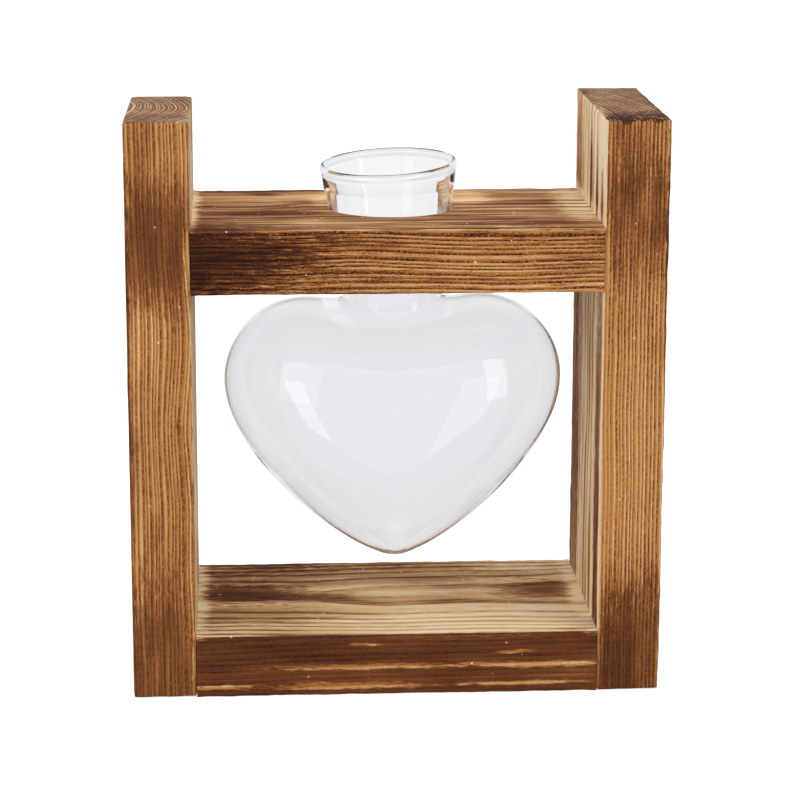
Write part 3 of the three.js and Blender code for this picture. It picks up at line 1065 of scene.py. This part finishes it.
def floor():
    """White paper that the object stands on. Glass and gloss see it as the grey that it really is, with
    painted light that makes it lighter further back.
    """
    bpy.ops.object.select_all(action="DESELECT")
    bpy.ops.mesh.primitive_plane_add(size=FLOOR_SIZE)
    paper = bpy.context.object
    paper.name = "studio_floor"
    material, tree = start_material("white_paper")
    path = add(tree, "LightPath").outputs
    glow = add(tree, "Math", {0: path["Is Camera Ray"], 1: PAPER_GLOW}, operation="MULTIPLY").outputs[0]
    white = {
        "Base Color": paint(PAPER_WHITE),
        "Roughness": 0.9,
        "Specular IOR Level": 0.0,
        "Emission Color": WHITE,
        "Emission Strength": glow,
    }
    lit = add(tree, "BsdfPrincipled", white).outputs[0]
    place = add(tree, "TexCoord").outputs["Object"]
    away = add(tree, "SeparateXYZ", {"Vector": place}).outputs["Y"]
    turn = {"Value": away, "From Min": PAPER_NEAR, "From Max": PAPER_FAR}
    far = add(tree, "MapRange", turn).outputs[0]
    # Painted light: the paper seen in glass turns lighter further back
    tones = [(0, PAPER_GREY), (1, PAPER_GREY_LIT)]
    tone = add(tree, "ValToRGB", {"Fac": far}, stops=tones).outputs[0]
    grey = add(tree, "Emission", {"Color": tone}).outputs[0]
    mixed = add(tree, "MixShader", {0: seen_in_glass(tree, path), 1: lit, 2: grey}).outputs[0]
    add(tree, "OutputMaterial", {"Surface": mixed})
    dress(paper, material)


def world():
    """Even room light, seen as white by the camera and as the same grey paper by glass and gloss."""
    made = bpy.data.worlds.new("studio")
    bpy.context.scene.world = made
    made.use_nodes = True
    tree = made.node_tree
    tree.nodes.clear()
    path = add(tree, "LightPath").outputs
    room = add(tree, "Background", {"Color": WHITE, "Strength": ROOM_LIGHT}).outputs[0]
    white = add(tree, "Background", {"Color": WHITE, "Strength": 1}).outputs[0]
    grey = add(tree, "Background", {"Color": paint(PAPER_GREY), "Strength": 1}).outputs[0]
    inside = add(tree, "MixShader", {0: seen_in_glass(tree, path), 1: room, 2: grey}).outputs[0]
    seen = add(tree, "MixShader", {0: path["Is Camera Ray"], 1: inside, 2: white}).outputs[0]
    add(tree, "OutputWorld", {"Surface": seen})


def softbox(name, azimuth, elevation, width, height, radiance, mirrored):
    """A soft lamp that faces the middle of the object. Azimuth 0 is the camera's side, and it grows
    to the right. Only a mirrored lamp shows as a highlight on the glass."""
    lamp = bpy.data.lights.new(name, "AREA")
    lamp.shape = "RECTANGLE"
    lamp.size = width
    lamp.size_y = height
    lamp.energy = radiance * math.pi * width * height
    holder = bpy.data.objects.new(name, lamp)
    bpy.context.scene.collection.objects.link(holder)
    aside = math.radians(azimuth)
    above = math.radians(elevation)
    level = math.cos(above)
    away = Vector((math.sin(aside) * level, -math.cos(aside) * level, math.sin(above)))
    holder.location = LAMP_AIM + LAMP_DISTANCE * away
    holder.rotation_euler = away.to_track_quat("Z", "Y").to_euler()
    holder.visible_camera = False
    holder.visible_glossy = mirrored


def camera():
    """The camera of the photograph."""
    lens = bpy.data.cameras.new("camera")
    lens.lens = CAMERA_LENS
    lens.sensor_width = CAMERA_SENSOR
    lens.clip_start = CAMERA_NEAR
    holder = bpy.data.objects.new("camera", lens)
    bpy.context.scene.collection.objects.link(holder)
    turn = Matrix.Rotation(-CAMERA_YAW, 4, "Z")
    tilt = Matrix.Rotation(math.pi / 2 - CAMERA_PITCH, 4, "X")
    roll = Matrix.Rotation(CAMERA_ROLL, 4, "Z")
    holder.matrix_world = Matrix.Translation(CAMERA_PLACE) @ turn @ tilt @ roll
    bpy.context.scene.camera = holder


def lamps():
    """A wide softbox at the left, a narrow one at the right, and a ceiling that glass doesn't mirror."""
    softbox(
        "left_softbox", azimuth=-48, elevation=20, width=0.73, height=1.1, radiance=1.5, mirrored=True
    )
    softbox(
        "right_softbox", azimuth=50, elevation=20, width=0.3, height=1.1, radiance=2.8, mirrored=True
    )
    softbox("ceiling", azimuth=0, elevation=88, width=1.6, height=1.6, radiance=0.9, mirrored=False)


# The scene

bpy.context.scene.view_settings.view_transform = "Standard"
bpy.context.scene.cycles.max_bounces = LIGHT_BOUNCES
bpy.context.scene.cycles.glossy_bounces = GLOSS_BOUNCES
bpy.context.scene.cycles.transmission_bounces = GLASS_BOUNCES
camera()
world()
floor()
lamps()

dress(left_board(), left_pine())
dress(right_board(), right_pine())
dress(top_board(), top_pine())
dress(bottom_board(), bottom_pine())
dress(blown_vase(), clear_glass())
beech = raw_beech()
for name, node in frame["nodes"].items():
    if name.startswith("dowel"):
        dress(node, beech)
